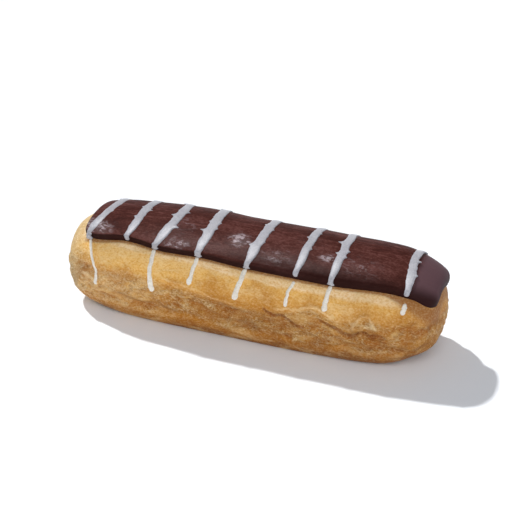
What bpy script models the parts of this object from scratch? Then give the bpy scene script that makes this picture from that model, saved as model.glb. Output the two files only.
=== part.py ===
"""A chocolate eclair: a baked choux bun under a cap of chocolate icing, drizzled with white icing.

The long axis lies along X, Z is up and the front is -Y. The eclair stands on its flat underside at Z = 0.
Two solids are made: the bun with the thin runs of drizzle on its sides, and the icing with its strands.
"""

import math

import bmesh
import bpy
import numpy as np
from mathutils import Vector, noise

MM = 0.001

# The bun
HALF_LENGTH = 65.0 * MM
HALF_WIDTH = 19.9 * MM
WAIST_HEIGHT = 14.8 * MM
DOME_HEIGHT = 16.3 * MM
BASE_DEPTH = 18.1 * MM
PLAN_SQUARENESS = 4.25
DOME_SQUARENESS = 2.0
BASE_SQUARENESS = 3.2
BUN_RINGS = 86
BUN_SIDES = 40

# The torn band that runs round the bun between its smooth dome and its smooth base. Its upper edge on the
# front is given as distances along X and heights, in mm
TEAR_LOW = 7.5 * MM
TEAR_HIGH = 18.0 * MM
TEAR_TOP = ((-62, 19.5), (-47, 18), (-37, 20), (-25, 18.5), (-13, 17.7), (4, 15), (19, 16.8), (28, 19.5), (37, 16.5),
            (46, 19.5), (51, 17.5), (59, 20), (65, 17))
TEAR_FADE = 2.5 * MM
TEAR_WANDER = 2.0 * MM
TEAR_WANDER_SIZE = 14.0 * MM
TEAR_RECESS = 0.4 * MM
CRAG_HEIGHT = 1.3 * MM
CRAG_SIZE = 6.5 * MM
CRAG_STRETCH = (0.6, 1.0, 1.3)
CRAG_ROUNDING = 0.09
CALM_END = (-64.0 * MM, -57.0 * MM)
CALM_SHARE = 0.3
LUMP_HEIGHT = 0.35 * MM
LUMP_SIZE = 24.0 * MM

# Single bulges and hollows of the baked skin: the middle, the reach and the height, in mm
SWELLINGS = (
    ("left_pocket", (-55, -17, 15.5), 5.5, -1.2),
    ("left_step", (-62, -11, 22), 5.0, -0.6),
    ("left_lip", (-57, -16, 10.5), 5.0, 0.7),
    ("right_lobe", (65, 2, 15.5), 4.5, 0.8),
    ("right_low_lobe", (64, -7, 9.5), 4.0, 0.6),
    ("right_undercut", (61.5, -12, 2), 7.5, -2.2),
    ("front_fold", (45, -18.5, 15), 3.5, 0.6),
    ("front_hollow", (50, -18, 12), 4.0, -0.7),
    ("left_crown", (-21, 7, 30), 12.0, 0.9),
    ("right_crown", (50, 5, 29), 9.0, 0.9),
)

# The icing: its ends as steps along the bun, and its front edge as steps and degrees round the section
ICING_GAP = 0.3 * MM
ICING_END_GAP = 0.25 * MM
ICING_END_BEND = (0.6, 0.75)
ICING_THICKNESS = 2.6 * MM
ICING_LEFT = -0.735
ICING_RIGHT = 0.865
ICING_SQUARENESS = 9.0
ICING_FRONT_EDGE = (
    (-0.75, 46.5), (-0.68, 45.5), (-0.52, 41.0), (-0.32, 45.8), (-0.15, 45.0), (0.06, 47.5), (0.4, 48.3),
    (0.67, 44.2), (0.82, 52.5), (0.89, 54.0),
)
ICING_BACK_EDGE = 47.0
ICING_BACK_WAVE = 2.0
ICING_WALL_UPRIGHT = 0.5
ICING_COLUMNS = 48
ICING_ROWS = 18

# The icing's shoulder runs from sharp in the left third to round on the right, and its ends are thin: share of
# the thickness that the rim keeps, and the width over which the top falls to it
RIM_CHANGE = (-0.35, 0.45)
RIM_SHARES = (0.84, 0.5)
RIM_RADII = (0.75 * MM, 2.1 * MM)
END_SHARES = (0.35, 0.22)
END_RADII = (1.6 * MM, 3.4 * MM)

# The drizzle strands over the icing: distances along X at the back rim, on the crown and at the front rim, half
# width, and where its barb juts out (0 at the back, 1 in front)
STRANDS = (
    ("strand_1", (-51.3, -50.0, -53.5), 1.42, 0.45),
    ("strand_2", (-41.5, -37.6, -39.0), 1.5, 0.57),
    ("strand_3", (-29.2, -25.0, -28.2), 1.65, 0.68),
    ("strand_4", (-16.4, -11.7, -12.9), 1.7, 0.67),
    ("strand_5", (3.3, 6.0, 4.3), 1.6, 0.75),
    ("strand_6", (20.0, 21.8, 21.0), 1.35, 0.54),
    ("strand_7", (30.4, 32.7, 32.7), 1.35, 0.50),
    ("strand_8", (53.0, 53.4, 55.5), 1.5, 0.56),
)
STRAND_HEIGHT = 0.8 * MM
STRAND_SINK = 0.45 * MM
STRAND_END = 1.03
STRAND_DROP = 0.6
STRAND_WAVE = 0.5 * MM
STRAND_WOBBLE = 0.22
STRAND_WOBBLES = 9.0
BARB_LENGTH = 0.9 * MM
BARB_SIZE = 0.035

# The runs of drizzle on the bun's sides: distances along X and degrees round the section at the start, the
# middle and the end, and half width. Those on the back have turns below 0, and all keep clear of the icing
RUNS = (
    ("run_1", (-53.9, 44.5), (-51.0, 70.0), (-49.4, 95.0), 0.6),
    ("run_3", (-28.7, 44.5), (-28.5, 68.0), (-27.6, 90.5), 0.9),
    ("run_4", (-13.3, 44.0), (-13.6, 60.0), (-14.3, 76.0), 0.78),
    ("run_5", (3.9, 46.5), (2.9, 64.0), (1.7, 83.0), 0.95),
    ("run_6", (20.6, 50.5), (19.3, 65.0), (19.2, 79.0), 0.62),
    ("run_7", (32.5, 47.5), (32.0, 61.0), (31.5, 76.0), 0.88),
    ("run_8", (55.8, 51.0), (55.9, 58.0), (55.6, 65.5), 0.88),
    ("run_9", (-50.0, -46.0), (-50.5, -64.0), (-51.4, -80.0), 0.65),
    ("run_10", (-13.9, -46.0), (-13.5, -66.0), (-13.0, -86.0), 0.7),
    ("run_11", (21.0, -50.0), (20.8, -61.0), (20.6, -72.0), 0.65),
    ("run_12", (31.2, -46.0), (31.6, -64.0), (32.0, -82.0), 0.7),
)
RUN_CLEAR = 6.5
RUN_HEIGHT = 0.55 * MM
RUN_SINK = 0.35 * MM
STRAND_RINGS = 18
RUN_RINGS = 8
DRIZZLE_SIDES = 7

NORMAL_FLOOR = 1e-9


def clear_scene():
    for old in list(bpy.data.objects):
        bpy.data.objects.remove(old, do_unlink=True)


def collection(name):
    made = bpy.data.collections.new(name)
    bpy.context.scene.collection.children.link(made)
    return made


def squared(value, squareness):
    """A sine or cosine, bent from a circle's towards a squarer superellipse's."""
    return math.copysign(abs(value) ** (2 / squareness), value)


def profile():
    """Even steps along the bun's side profile: the step, the distance along X and how open the section is."""
    turn = np.linspace(0, np.pi, 1441)
    along = -HALF_LENGTH * np.sign(np.cos(turn)) * np.abs(np.cos(turn)) ** (2 / PLAN_SQUARENESS)
    opening = np.abs(np.sin(turn)) ** (2 / PLAN_SQUARENESS)
    walked = np.concatenate([[0], np.cumsum(np.hypot(np.diff(along), np.diff(opening * HALF_WIDTH)))])
    return walked / walked[-1] * 2 - 1, along, opening


PROFILE = profile()


def plain_point(step, turn):
    """A point of the plain bun. step runs -1 to 1 along it, and turn is 0 on top and 90 degrees in front."""
    along = float(np.interp(step, PROFILE[0], PROFILE[1]))
    opening = float(np.interp(step, PROFILE[0], PROFILE[2]))
    above = math.cos(turn) >= 0
    squareness = DOME_SQUARENESS if above else BASE_SQUARENESS
    height = DOME_HEIGHT if above else BASE_DEPTH
    across = -HALF_WIDTH * opening * squared(math.sin(turn), squareness)
    up = WAIST_HEIGHT + height * opening * squared(math.cos(turn), squareness)
    return Vector((along, across, up))


def outward(point):
    """The plain bun's outward direction at a point of it, from the superellipse's own slope."""
    above = point.z >= WAIST_HEIGHT
    squareness = DOME_SQUARENESS if above else BASE_SQUARENESS
    height = DOME_HEIGHT if above else BASE_DEPTH
    along, across, up = point.x / HALF_LENGTH, point.y / HALF_WIDTH, (point.z - WAIST_HEIGHT) / height
    opened = max(1 - abs(along) ** PLAN_SQUARENESS, NORMAL_FLOOR)
    slope = Vector((
        math.copysign(abs(along) ** (PLAN_SQUARENESS - 1), along)
        * opened ** (squareness / PLAN_SQUARENESS - 1) / HALF_LENGTH,
        math.copysign(abs(across) ** (squareness - 1), across) / HALF_WIDTH,
        math.copysign(abs(up) ** (squareness - 1), up) / height,
    ))
    return slope.normalized()


def eased(value, low, high):
    """0 below low and 1 above high, with a smooth change between them."""
    share = min(max((value - low) / (high - low), 0.0), 1.0)
    return share * share * (3 - 2 * share)


def eased_along(value, points):
    """The smooth way from point to point, each of them a place and a value, read at this place."""
    for (start, low), (end, high) in zip(points, points[1:]):
        if value <= end:
            return low + (high - low) * eased(value, start, end)
    return points[-1][1]


def torn(point):
    """1 in the torn band round the bun, 0 on its dome and base. The band's edges wander."""
    wander = noise.noise(point / TEAR_WANDER_SIZE) * TEAR_WANDER
    low = TEAR_LOW + wander
    front = eased(-point.y, 0.0, HALF_WIDTH / 2)
    high = np.interp(point.x / MM, *zip(*TEAR_TOP)) * MM * front + (TEAR_HIGH + wander) * (1 - front)
    return eased(point.z, low - TEAR_FADE, low) * (1 - eased(point.z, high - TEAR_FADE, high))


def relief(point):
    """How far the baked skin stands out from the plain bun at this point."""
    lumps = LUMP_HEIGHT * noise.noise(point / LUMP_SIZE)
    for _, middle, reach, height in SWELLINGS:
        away = (point / MM - Vector(middle)).length / reach
        lumps += height * MM * math.exp(-away * away)
    crag = math.hypot(noise.noise(point * Vector(CRAG_STRETCH) / CRAG_SIZE), CRAG_ROUNDING)
    rough = CALM_SHARE + (1 - CALM_SHARE) * eased(point.x, *CALM_END)
    return lumps + torn(point) * (CRAG_HEIGHT * (0.5 - 2 * crag) - TEAR_RECESS) * rough


def skin_point(step, turn, lift=0.0):
    """A point at this height above the bun's finished skin."""
    point = plain_point(step, turn)
    return point + outward(point) * (relief(point) + lift)


def icing_edge(step, side):
    """How far round the section the icing reaches here, on the front (side above 0) or the back."""
    if side > 0:
        return math.radians(eased_along(step, ICING_FRONT_EDGE))
    return math.radians(ICING_BACK_EDGE + ICING_BACK_WAVE * noise.noise(Vector((step * 6.0, -3.0, 0.5))))


def icing_gap(step):
    """The gap below the icing, which is wider where the bun bends down to its right end."""
    return ICING_GAP + ICING_END_GAP * eased(step, *ICING_END_BEND)


def rim_form(step, end):
    """The share of its thickness that the icing keeps at its rim, and how wide its shoulder is.

    end is 0 on the long sides and 1 on the two ends.
    """
    change = eased(step, *RIM_CHANGE)
    sides = (low + (high - low) * change for low, high in (RIM_SHARES, RIM_RADII))
    ends = (low + (high - low) * change for low, high in (END_SHARES, END_RADII))
    return tuple(side + (last - side) * end for side, last in zip(sides, ends))


def rim_place(step, turn):
    """How far inside the shoulder a place is, from 0 at the rim to 1, and the share of the thickness kept there."""
    half_reach = (ICING_RIGHT - ICING_LEFT) / 2
    edge = icing_edge(step, turn)
    along = min(abs(step - (ICING_RIGHT + ICING_LEFT) / 2) / half_reach, 1.0)
    across = min(abs(turn) / edge, 1.0)
    size = (along ** ICING_SQUARENESS + across ** ICING_SQUARENESS) ** (1 / ICING_SQUARENESS)
    if size < 0.5:
        return 1.0, 1.0
    along_fall = along ** (ICING_SQUARENESS - 1) / (half_reach * HALF_LENGTH)
    across_fall = across ** (ICING_SQUARENESS - 1) / (edge * HALF_WIDTH)
    fall = math.hypot(along_fall, across_fall)
    kept, radius = rim_form(step, (along_fall / fall) ** 2)
    inside = min(max((1 - size) / (fall * size ** (1 - ICING_SQUARENESS)) / radius, 0.0), 1.0)
    return inside, kept


def icing_point(step, turn, wall=1.0):
    """A point of the icing's outside. wall runs from 0 at the foot of its rim to 1 on its top."""
    inside, kept = rim_place(step, turn)
    lift = ICING_THICKNESS * (kept + (1 - kept) * math.sqrt(1 - (1 - inside) ** 2)) * wall
    plain = plain_point(step, turn)
    way = outward(plain)
    lean = ICING_WALL_UPRIGHT * (1 - inside)
    pulled = (way * (1 - lean) + Vector((0, 0, 1)) * lean).normalized()
    return plain + way * (relief(plain) + icing_gap(step)) + pulled * lift


def step_at(along):
    """The profile step at this distance along X."""
    return float(np.interp(along, PROFILE[1], PROFILE[0]))


def material(name, colour, roughness):
    made = bpy.data.materials.new(name)
    made.use_nodes = True
    shader = made.node_tree.nodes["Principled BSDF"]
    shader.inputs["Base Color"].default_value = (*colour, 1.0)
    shader.inputs["Roughness"].default_value = roughness
    shader.inputs["Metallic"].default_value = 0.0
    return made


def finished(name, bm, where, finish):
    """The bmesh as a smooth-shaded object with its own material."""
    bmesh.ops.recalc_face_normals(bm, faces=bm.faces)
    if bm.calc_volume(signed=True) < 0:
        bmesh.ops.reverse_faces(bm, faces=bm.faces)
    mesh = bpy.data.meshes.new(name)
    bm.to_mesh(mesh)
    bm.free()
    mesh.shade_smooth()
    mesh.materials.append(finish)
    made = bpy.data.objects.new(name, mesh)
    where.objects.link(made)
    return made


def stretched_drop(name, rings, sides, place, where, finish):
    """A sphere whose poles are pulled to the two ends of a shape. place(step, turn) says where its skin goes."""
    bm = bmesh.new()
    bmesh.ops.create_uvsphere(bm, u_segments=sides, v_segments=rings, radius=1)
    for vertex in bm.verts:
        step = 1 - 2 * math.acos(max(-1.0, min(1.0, vertex.co.z))) / math.pi
        turn = math.atan2(vertex.co.y, vertex.co.x)
        vertex.co = place(step, turn)
    return finished(name, bm, where, finish)


def make_bun(where, finish):
    """The bun, cut flat underneath at Z = 0."""
    bun = stretched_drop("choux_bun", BUN_RINGS, BUN_SIDES, skin_point, where, finish)
    bm = bmesh.new()
    bm.from_mesh(bun.data)
    bmesh.ops.bisect_plane(
        bm, geom=bm.verts[:] + bm.edges[:] + bm.faces[:], plane_co=(0, 0, 0), plane_no=(0, 0, -1), clear_outer=True
    )
    bmesh.ops.holes_fill(bm, edges=[edge for edge in bm.edges if edge.is_boundary])
    bm.to_mesh(bun.data)
    bm.free()
    return bun


def make_icing(where, finish):
    """The icing: a sheet laid on the bun, then pulled up to its thickness with a rounded rim."""
    bm = bmesh.new()
    bmesh.ops.create_grid(bm, x_segments=ICING_COLUMNS, y_segments=ICING_ROWS, size=1)
    below = bm.verts[:]
    bmesh.ops.extrude_face_region(bm, geom=bm.faces[:], use_keep_orig=True)
    above = [vertex for vertex in bm.verts if vertex not in set(below)]
    for vertex in above:
        vertex.co = icing_point(*icing_place(vertex.co.x, vertex.co.y))
    for vertex in below:
        step, turn = icing_place(vertex.co.x, vertex.co.y)
        vertex.co = skin_point(step, turn, icing_gap(step))
    return finished("chocolate_icing", bm, where, finish)


def icing_place(u, v):
    """The place on the bun of a point of the flat square from -1 to 1, with the square's corners rounded off."""
    disc_u = u * math.sqrt(1 - v * v / 2)
    disc_v = v * math.sqrt(1 - u * u / 2)
    radius = math.hypot(disc_u, disc_v)
    if radius > 0:
        longest = (abs(disc_u) ** ICING_SQUARENESS + abs(disc_v) ** ICING_SQUARENESS) ** (1 / ICING_SQUARENESS)
        disc_u *= radius / longest
        disc_v *= radius / longest
    step = (ICING_RIGHT + ICING_LEFT) / 2 + disc_u * (ICING_RIGHT - ICING_LEFT) / 2
    return step, disc_v * icing_edge(step, disc_v)


def sweep(name, path, half_width, height, rings, where, finish):
    """A rounded strand along path(share), which gives its middle and its height direction, share being 0 to 1.

    The strand's width lies across its path. half_width(share) leaves out the rounding of the ends.
    """
    middles = [path(share / 200)[0] for share in range(201)]
    walked = np.concatenate([[0], np.cumsum([(b - a).length for a, b in zip(middles, middles[1:])])])

    def place(step, turn):
        share = (1 + 0.7 * step + 0.3 * math.sin(step * math.pi / 2)) / 2
        middle, up = path(share)
        ahead = (path(min(share + 0.005, 1.0))[0] - path(max(share - 0.005, 0.0))[0]).normalized()
        across = ahead.cross(up).normalized()
        reach = float(np.interp(share, np.linspace(0, 1, 201), walked))
        width = half_width(share)
        from_end = min(reach, walked[-1] - reach) / width
        rounding = math.sqrt(1 - (1 - min(from_end, 1.0)) ** 2)
        return middle + across * width * rounding * math.cos(turn) + up * height * rounding * math.sin(turn)

    return stretched_drop(name, rings, DRIZZLE_SIDES, place, where, finish)


def make_strand(name, xs, half_width, barb, where, finish):
    """A strand of drizzle from the icing's back rim over its top to its front rim."""
    back_x, crown_x, front_x = xs

    def path(share):
        reach = (2 * share - 1) * STRAND_END
        inner = min(max(reach, -1.0), 1.0)
        bend = crown_x + (front_x - back_x) / 2 * inner + ((front_x + back_x) / 2 - crown_x) * inner * inner
        wave = STRAND_WAVE * noise.noise(Vector((crown_x, inner * 2.5, 2.5)))
        step = step_at(bend * MM + wave)
        turn = reach * icing_edge(step, reach)
        down = max(abs(reach) - 1, 0.0) / (STRAND_END - 1)
        way = outward(plain_point(step, turn))
        return icing_point(step, turn, 1 - STRAND_DROP * down) + way * (STRAND_HEIGHT / 2 - STRAND_SINK), way

    def width(share):
        wobble = 1 + STRAND_WOBBLE * noise.noise(Vector((share * STRAND_WOBBLES, crown_x, 0.5)))
        jut = BARB_LENGTH * math.exp(-(((share - barb) / BARB_SIZE) ** 2))
        return half_width * MM * wobble + 0.5 * jut

    return sweep(name, path, width, STRAND_HEIGHT, STRAND_RINGS, where, finish)


def make_run(name, start, middle, end, half_width, where, finish):
    """A thin run of drizzle down the bun's side, clear of the icing's rim."""
    rim = icing_edge(step_at(start[0] * MM), start[1])
    cleared = (math.degrees(rim) + RUN_CLEAR - abs(start[1])) / (abs(end[1]) - abs(start[1]))

    def path(share):
        place = cleared + (1 - cleared) * share
        parts = []
        for first, second, third in zip(start, middle, end):
            bend = 2 * (first + third - 2 * second)
            parts.append(first + (third - first) * place - bend * place * (1 - place))
        plain = plain_point(step_at(parts[0] * MM), math.radians(parts[1]))
        return plain + outward(plain) * (relief(plain) + RUN_HEIGHT / 2 - RUN_SINK), outward(plain)

    def width(share):
        return half_width * (0.85 + 0.3 * eased(share, 0.6, 0.95)) * MM

    return sweep(name, path, width, RUN_HEIGHT, RUN_RINGS, where, finish)


def fuse(target, additions):
    """Joins the objects of a collection to the target by one Boolean union, then removes them."""
    union = target.modifiers.new("fused_drizzle", "BOOLEAN")
    union.operation = "UNION"
    union.operand_type = "COLLECTION"
    union.collection = additions
    union.solver = "MANIFOLD"
    graph = bpy.context.evaluated_depsgraph_get()
    joined = bpy.data.meshes.new_from_object(target.evaluated_get(graph))
    target.modifiers.clear()
    target.data = joined
    joined.shade_smooth()
    for old in list(additions.objects):
        bpy.data.objects.remove(old, do_unlink=True)
    bpy.data.collections.remove(additions)


def main():
    clear_scene()
    eclair = collection("chocolate_eclair")
    baked = material("baked_choux", (0.62, 0.37, 0.13), 0.65)
    chocolate = material("chocolate", (0.055, 0.022, 0.018), 0.35)
    bun = make_bun(eclair, baked)
    icing = make_icing(eclair, chocolate)
    strands = collection("strands")
    for strand in STRANDS:
        make_strand(*strand, strands, chocolate)
    fuse(icing, strands)
    runs = collection("runs")
    for run in RUNS:
        make_run(*run, runs, baked)
    fuse(bun, runs)


main()
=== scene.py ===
"""The looks of the chocolate eclair: crust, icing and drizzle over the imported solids.

The long axis lies along X, Z is up and the front is -Y. Sizes are in metres, and named ones in mm times MM.
"""

import functools
import math

import bmesh
import bpy
import numpy as np
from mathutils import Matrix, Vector, noise

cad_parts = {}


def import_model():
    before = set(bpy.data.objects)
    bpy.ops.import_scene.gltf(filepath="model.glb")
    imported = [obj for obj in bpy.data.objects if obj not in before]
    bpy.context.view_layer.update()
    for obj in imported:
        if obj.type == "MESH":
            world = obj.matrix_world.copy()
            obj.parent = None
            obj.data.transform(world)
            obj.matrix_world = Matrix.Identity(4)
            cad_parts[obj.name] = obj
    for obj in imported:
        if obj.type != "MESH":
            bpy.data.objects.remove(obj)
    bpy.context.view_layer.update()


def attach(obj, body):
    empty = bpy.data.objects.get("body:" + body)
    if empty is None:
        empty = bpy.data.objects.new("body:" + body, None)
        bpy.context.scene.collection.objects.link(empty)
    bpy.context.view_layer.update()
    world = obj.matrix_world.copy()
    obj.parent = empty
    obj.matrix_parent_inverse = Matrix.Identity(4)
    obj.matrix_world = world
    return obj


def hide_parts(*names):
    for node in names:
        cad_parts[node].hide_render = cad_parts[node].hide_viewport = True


MM = 0.001

# The bun, as in the part's source, and its mesh's cells along, across and up
HALF_LENGTH = 65.0 * MM
HALF_WIDTH = 19.9 * MM
WAIST_HEIGHT = 14.8 * MM
DOME_HEIGHT = 16.3 * MM
BASE_DEPTH = 18.1 * MM
PLAN_SQUARENESS = 4.25
DOME_SQUARENESS = 2.0
BASE_SQUARENESS = 3.2
PROFILE_SAMPLES = 1441
BUN_CELLS = (268, 84, 64)

# The mean radius of the bun's section, and the length of a step of 1 along its profile
SECTION_RADIUS = 18.0 * MM
STEP_LENGTH = 75.0 * MM

# The torn band between the smooth dome and base. Its top edge on the front is in mm along X and mm of height
TEAR_LOW = 7.5 * MM
TEAR_HIGH = 18.0 * MM
TEAR_TOP = (
    (-62, 19.5), (-47, 18), (-37, 20), (-25, 18.5), (-13, 17.7), (4, 15), (19, 16.8), (28, 19.5), (37, 16.5),
    (46, 19.5), (51, 17.5), (59, 20), (65, 17),
)
TEAR_FADE = 2.5 * MM
TEAR_WANDER = 2.0 * MM
TEAR_WANDER_SIZE = 14.0 * MM
TEAR_RECESS = 0.4 * MM

# The torn band's crags, and where and how far the left end is calmer
CRAG_HEIGHT = 1.3 * MM
CRAG_SIZE = 6.5 * MM
CRAG_STRETCH = (0.6, 1.0, 1.3)
CRAG_ROUNDING = 0.09
CRAG_LEVEL = 0.5
RIDGE_SLOPE = 2.0
CALM_END = (-64.0 * MM, -57.0 * MM)
CALM_SHARE = 0.3

# The bun's wide unevenness, and its named lumps and hollows: the middle, reach and height of each, in mm
LUMP_HEIGHT = 0.35 * MM
LUMP_SIZE = 24.0 * MM
SWELLINGS = (
    ("left_pocket", (-55, -17, 15.5), 5.5, -1.2),
    ("left_step", (-62, -11, 22), 5.0, -0.6),
    ("left_lip", (-57, -16, 10.5), 5.0, 0.7),
    ("right_lobe", (65, 1, 14), 5.5, 1.2),
    ("right_low_lobe", (64, -7, 9.5), 4.0, 0.6),
    ("right_undercut", (61.5, -12, 1), 7.0, -1.7),
    ("front_fold", (45, -18.5, 15), 3.5, 0.6),
    ("front_hollow", (50, -18, 12), 4.0, -0.7),
    ("left_crown", (-21, 7, 30), 12.0, 0.9),
    ("right_crown", (50, 5, 29), 9.0, 0.9),
)

# The torn skin's folds and all the skin's grain, as sizes and heights, and the crags' share in the folds'
# painted shade and light
FOLDS = ((3.6 * MM, 0.34 * MM), (1.6 * MM, 0.16 * MM))
FOLD_STRETCH = Vector((0.55, 1.0, 1.2))
FOLD_WARP = 2.4 * MM
FOLD_WARP_SIZE = 5.0 * MM
FOLD_LEVEL = 0.4
GRAIN = ((2.6 * MM, 0.06 * MM), (1.0 * MM, 0.03 * MM))
CRAG_SHADING = 0.35

# The fixed start of the noise that shakes and warps the skin, so that each run makes the same skin
NOISE_START = 2

# Single creases and ridges on the front: the half width and the height (below 0 for a crease), then the way as
# distances along X and heights, all in mm
CREASES = (
    ("long_crack", 0.55, -0.6, ((31, 15.2), (33.3, 14.4), (36.9, 12.7), (40.5, 11.3), (42.8, 12.6))),
    ("short_crack", 0.55, -0.6, ((44.8, 12.9), (46.2, 12), (47.5, 11.4))),
    (
        "fold_ridge", 0.5, 0.5,
        ((41.2, 14.5), (41.8, 16.4), (43.6, 18.7), (45.7, 19.2), (46.7, 17.4), (48.4, 15.5)),
    ),
    ("left_lip_ridge", 0.75, 0.6, ((-62, 15.5), (-59.5, 14.8), (-56.5, 14.1), (-53, 13.2), (-49.2, 12))),
    ("left_step_crease", 0.7, -0.12, ((-61, 20.2), (-58, 20.6), (-55, 20.4))),
    ("tear_lip", 0.5, 0.35, ((-24, 19.2), (-20, 18.9), (-12.9, 17.9), (-4.8, 16.2), (1, 15.4))),
    ("middle_fold", 0.5, 0.4, ((16, 16.2), (20, 17.4), (23.4, 17.5), (27, 19.6), (31.5, 18.6), (35, 16.6))),
    ("middle_crack", 0.55, -0.5, ((12, 15.5), (15.5, 13.6), (18.5, 14.6), (21.5, 12.4), (25, 11.6))),
)
CREASE_REACH = 4.0
CREASE_SHAKE = 0.6
CREASE_SHAKE_SIZE = 2.5 * MM
FRONT_FROM = -5.0 * MM

# The icing: its ends as steps along the bun, and its front edge as steps and degrees round the section
ICING_GAP = 0.3 * MM
ICING_THICKNESS = 2.6 * MM
ICING_LEFT = -0.735
ICING_RIGHT = 0.865
ICING_SQUARENESS = 12.0
ICING_FRONT_EDGE = (
    (-0.75, 46.5), (-0.68, 45.5), (-0.52, 41.0), (-0.32, 45.8), (-0.15, 45.0), (0.06, 47.5), (0.4, 48.3),
    (0.67, 44.2), (0.74, 45.2), (0.84, 53.0), (0.89, 54.0),
)
ICING_BACK_EDGE = 47.0
ICING_BACK_WAVE = 2.0
ICING_BACK_WAVES = 6.0
ICING_COLUMNS = 230
ICING_ROWS = 96
ICING_WALL_CUTS = 7
ICING_WALL_BULGE = 0.22 * MM
ICING_WALL_GROOVE = 0.28 * MM
ICING_WALL_GROOVE_MIDDLE = 0.55
ICING_WALL_GROOVE_WIDTH = 0.12
ICING_WALL_UPRIGHT = 0.5
JUST_OUTSIDE = 1.01
ICING_WAVE = 0.14 * MM
ICING_WAVE_SIZE = 9.0 * MM

# The icing's shoulder is sharp on the left and round on the right, and its ends are thin: the share of the
# thickness that the rim keeps, and the width of the fall to it
RIM_CHANGE = (-0.35, 0.45)
RIM_SHARES = (0.84, 0.5)
RIM_RADII = (0.75 * MM, 2.1 * MM)
END_SHARES = (0.35, 0.22)
END_RADII = (1.6 * MM, 3.4 * MM)
FAR_INSIDE = 0.5
# How strongly painted shade darkens the icing's rim
RIM_SHADING = 1.4

# Where the icing's skin gleams: distance along X in mm, degrees round the section, reach in mm and strength
GLEAMS = (
    (-53.0, 28.5, 2.2, 2.2), (-49.8, 35.0, 2.6, 1.4), (-22.5, 39.5, 2.4, 0.75), (-19.0, 37.5, 2.0, 0.65),
    (-21.0, 17.0, 3.4, 0.3), (-0.8, 20.0, 2.4, 1.3), (0.4, 25.0, 2.0, 0.9), (13.0, 33.5, 3.4, 0.5),
    (29.4, 24.0, 1.35, 2.2), (40.0, 28.0, 3.6, 0.42), (22.0, 12.0, 3.2, 0.25),
)
GLEAM_LENGTHENED = 1.35
GLEAM_NARROWED = 1.3

# Where the matt right end, whose colour holds a painted reflection of the bright surround, begins along X, and
# between which degrees painted shade darkens the icing's low front
SMOOTH_END = (55.5 * MM, 58.5 * MM)
LOW_TURN = (26.0, 46.0)

# The pale band below the icing, the shoulder's paler dough with painted light from above: its lower edge in
# steps along the bun and degrees round it, the edge's wander (size and degrees) and softness, and the steps
# where the band ends
PALE_EDGE = (
    (-0.72, 46.0), (-0.6, 47.5), (-0.4, 51.0), (-0.2, 52.5), (-0.1, 54.5), (0.0, 57.2), (0.4, 58.3),
    (0.72, 57.6),
)
PALE_WANDERS = ((7.0 * MM, 2.0), (1.6 * MM, 1.2))
PALE_SOFTNESS = (0.8, 1.4)
PALE_END_SOFTNESS = 25.0
PALE_END = (0.66, 0.76)

# The shaded line under the icing's rim: its width, and how much wider it grows between two steps at the right
SHADE_WIDTH = (0.4 * MM, 1.2 * MM)
SHADE_SPREAD = 5.5 * MM
SHADE_CORE = 0.4
SHADE_GROWS = (0.62, 0.8)
SHADE_BEGINS = (ICING_LEFT - 0.01, ICING_LEFT + 0.03)
SHADE_UNDER_ICING = 2.0 * MM

# The drizzle strands: places along X at the back rim, the crown and the front rim, and half width, in mm, then
# how far down the icing's front wall each comes. 1 is its foot, where it runs on over the crust
STRANDS = {
    "strand_1": (-51.3, -50.0, -53.5, 1.42, 1.0),
    "strand_2": (-41.5, -37.6, -39.0, 1.5, 0.8),
    "strand_3": (-29.2, -25.0, -28.2, 1.65, 1.0),
    "strand_4": (-16.4, -11.7, -12.9, 1.7, 1.0),
    "strand_5": (3.3, 6.0, 4.3, 1.6, 1.0),
    "strand_6": (20.0, 21.8, 21.0, 1.35, 0.25),
    "strand_7": (30.4, 32.7, 32.7, 1.35, 1.0),
    "strand_8": (53.6, 54.4, 55.5, 1.5, 0.35),
}
STRAND_HEIGHT = 0.75 * MM
STRAND_SINK = 0.4 * MM
STRAND_WAVE = 0.5 * MM
STRAND_WAVES = 2.5
STRAND_WALL_SHARE = 0.12
STRAND_WOBBLES = ((0.2, 8.0, 7.0), (0.12, 34.0, 9.0))
STRAND_SAMPLES = 260
STRAND_SMOOTHING = 5
STRAND_RINGS = 170
STRAND_SIDES = 20
STRAND_SQUARENESS = 2.8
STRAND_BACK_WALL = 0.8
END_STRETCH = 1.5
RING_CROWDING = 0.15
LOOK_AHEAD = 0.004

# A strand's neck above its foot, its foot or its tip: shares of its width, and distances from its front end
NECK = 0.62
NECK_FALL = (2.0 * MM, 7.5 * MM)
FOOT = 1.55
FOOT_FALL = (0.3 * MM, 1.5 * MM)
TIP = 0.6
TIP_FALL = (0.0, 8.0 * MM)

# Thin points of drizzle beside the strands: place along the strand from the back, side (1 is +X) and length in
# mm. Their size is a share of the strand's length
BARBS = {
    "strand_1": ((0.60, 1, 0.9), (0.30, -1, 0.8), (0.46, 1, 0.5)),
    "strand_2": ((0.52, -1, 0.8), (0.57, 1, 1.3), (0.53, 1, 0.7), (0.70, -1, 1.1), (0.25, 1, 0.9)),
    "strand_3": ((0.50, 1, 1.3), (0.57, -1, 1.2), (0.71, 1, 1.9), (0.22, -1, 1.0)),
    "strand_4": ((0.58, 1, 0.7), (0.57, -1, 0.6), (0.66, 1, 0.8), (0.70, -1, 2.1), (0.2, 1, 1.1)),
    "strand_5": ((0.51, 1, 0.9), (0.69, 1, 0.7), (0.43, -1, 0.7), (0.75, -1, 1.1), (0.25, 1, 0.8)),
    "strand_6": ((0.54, -1, 0.9), (0.44, 1, 0.6), (0.70, 1, 0.7), (0.27, -1, 0.9)),
    "strand_7": ((0.50, -1, 1.6), (0.66, -1, 1.2), (0.69, 1, 0.7), (0.62, 1, 0.9), (0.2, 1, 1.2)),
    "strand_8": ((0.56, 1, 1.4), (0.63, -1, 0.7), (0.70, -1, 1.0), (0.76, 1, 0.9), (0.28, -1, 0.9)),
}
BARB_SIZE = 0.010

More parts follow.
